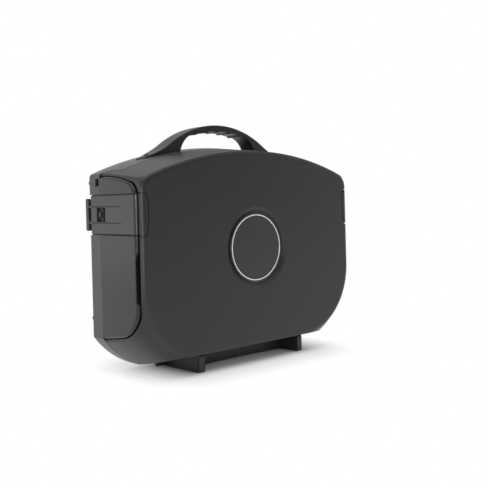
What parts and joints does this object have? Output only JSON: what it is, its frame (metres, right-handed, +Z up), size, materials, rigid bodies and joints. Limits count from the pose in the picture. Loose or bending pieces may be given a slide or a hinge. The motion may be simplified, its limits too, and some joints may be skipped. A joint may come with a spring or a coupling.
{
  "type": "portable screen carry case",
  "caption": "Upright hard-shell carry case with an arched top, bow handle, wrap-round side latches and skid feet; its lid holds a screen and its base a padded bay.",
  "frame": {"origin": "on the floor under the middle of the standing case", "axes": "+X to the right along the front face, +Y from the front face to the rear, +Z up"},
  "size_m": [0.5, 0.1634, 0.4315],
  "materials": {
    "case_plastic": "fine-textured dark grey moulded plastic",
    "handle_plastic": "fine-textured near-black moulded plastic",
    "latch_plastic": "fine-textured grey moulded plastic",
    "emblem_plastic": "satin dark grey plastic",
    "ring_metal": "satin light ring",
    "bezel_plastic": "black moulded plastic",
    "screen_glass": "dark screen",
    "board": "green circuit board",
    "speaker": "black speaker",
    "grille": "black slotted grille",
    "steel": "zinc plated steel",
    "skid_plastic": "dark moulded plastic",
    "button_plastic": "grey buttons",
    "liner_fabric": "short-pile black lining",
    "foam": "charcoal foam",
    "supply_plastic": "black power supply case",
    "bumper_rubber": "black rubber"
  },
  "bodies": {
    "lid": {"lid_shell": "case_plastic", "emblem_disc": "emblem_plastic", "emblem_ring": "ring_metal", "left_strike_plate": "latch_plastic", "right_strike_plate": "latch_plastic", "display_bezel": "bezel_plastic", "display_panel": "screen_glass", "display_board": "board", "key_board": "board", "left_speaker": "speaker", "right_speaker": "speaker", "left_speaker_grille": "grille", "right_speaker_grille": "grille", "bezel_screws": "steel", "left_skid": "skid_plastic", "right_skid": "skid_plastic", "stand_bar": "skid_plastic", "skid_screws": "steel", "left_hinge_pin": "steel", "right_hinge_pin": "steel"},
    "base": {"base_shell": "case_plastic", "left_wing": "case_plastic", "right_wing": "case_plastic", "wing_screws": "steel", "handle": "handle_plastic", "handle_screws": "steel", "left_hinge_leaf": "steel", "right_hinge_leaf": "steel", "hinge_screws": "steel", "deck_liner": "liner_fabric", "foam_pads": "foam", "power_supply": "supply_plastic", "power_inlet": "supply_plastic", "left_keeper": "latch_plastic", "right_keeper": "latch_plastic", "left_latch_pin": "steel", "right_latch_pin": "steel", "rear_bumpers": "bumper_rubber"},
    "left_latch_arm": {"left_latch": "latch_plastic"},
    "right_latch_arm": {"right_latch": "latch_plastic"},
    "power_button_cap": {"power_button": "button_plastic"},
    "source_button_cap": {"source_button": "button_plastic"},
    "menu_button_cap": {"menu_button": "button_plastic"},
    "volume_down_button_cap": {"volume_down_button": "button_plastic"},
    "volume_up_button_cap": {"volume_up_button": "button_plastic"}
  },
  "joints": [
    {"name": "case_hinge", "type": "hinge", "parent": "lid", "child": "base", "pos_m": [0, 0.03445, 0.005], "axis": [-1, 0, 0], "range_deg": [0, 105]},
    {"name": "left_latch_swing", "type": "hinge", "parent": "base", "child": "left_latch_arm", "pos_m": [-0.244, -0.06275, 0.27267], "axis": [0, 0, 1], "range_deg": [0, 95]},
    {"name": "right_latch_swing", "type": "hinge", "parent": "base", "child": "right_latch_arm", "pos_m": [0.244, -0.06275, 0.27267], "axis": [0, 0, -1], "range_deg": [0, 95]},
    {"name": "power_button_press", "type": "slide", "parent": "lid", "child": "power_button_cap", "axis": [0, -1, 0], "range_m": [0, 0.0012], "stiffness_N_per_m": 800},
    {"name": "source_button_press", "type": "slide", "parent": "lid", "child": "source_button_cap", "axis": [0, -1, 0], "range_m": [0, 0.0012], "stiffness_N_per_m": 800},
    {"name": "menu_button_press", "type": "slide", "parent": "lid", "child": "menu_button_cap", "axis": [0, -1, 0], "range_m": [0, 0.0012], "stiffness_N_per_m": 800},
    {"name": "volume_down_button_press", "type": "slide", "parent": "lid", "child": "volume_down_button_cap", "axis": [0, -1, 0], "range_m": [0, 0.0012], "stiffness_N_per_m": 800},
    {"name": "volume_up_button_press", "type": "slide", "parent": "lid", "child": "volume_up_button_cap", "axis": [0, -1, 0], "range_m": [0, 0.0012], "stiffness_N_per_m": 800}
  ]
}
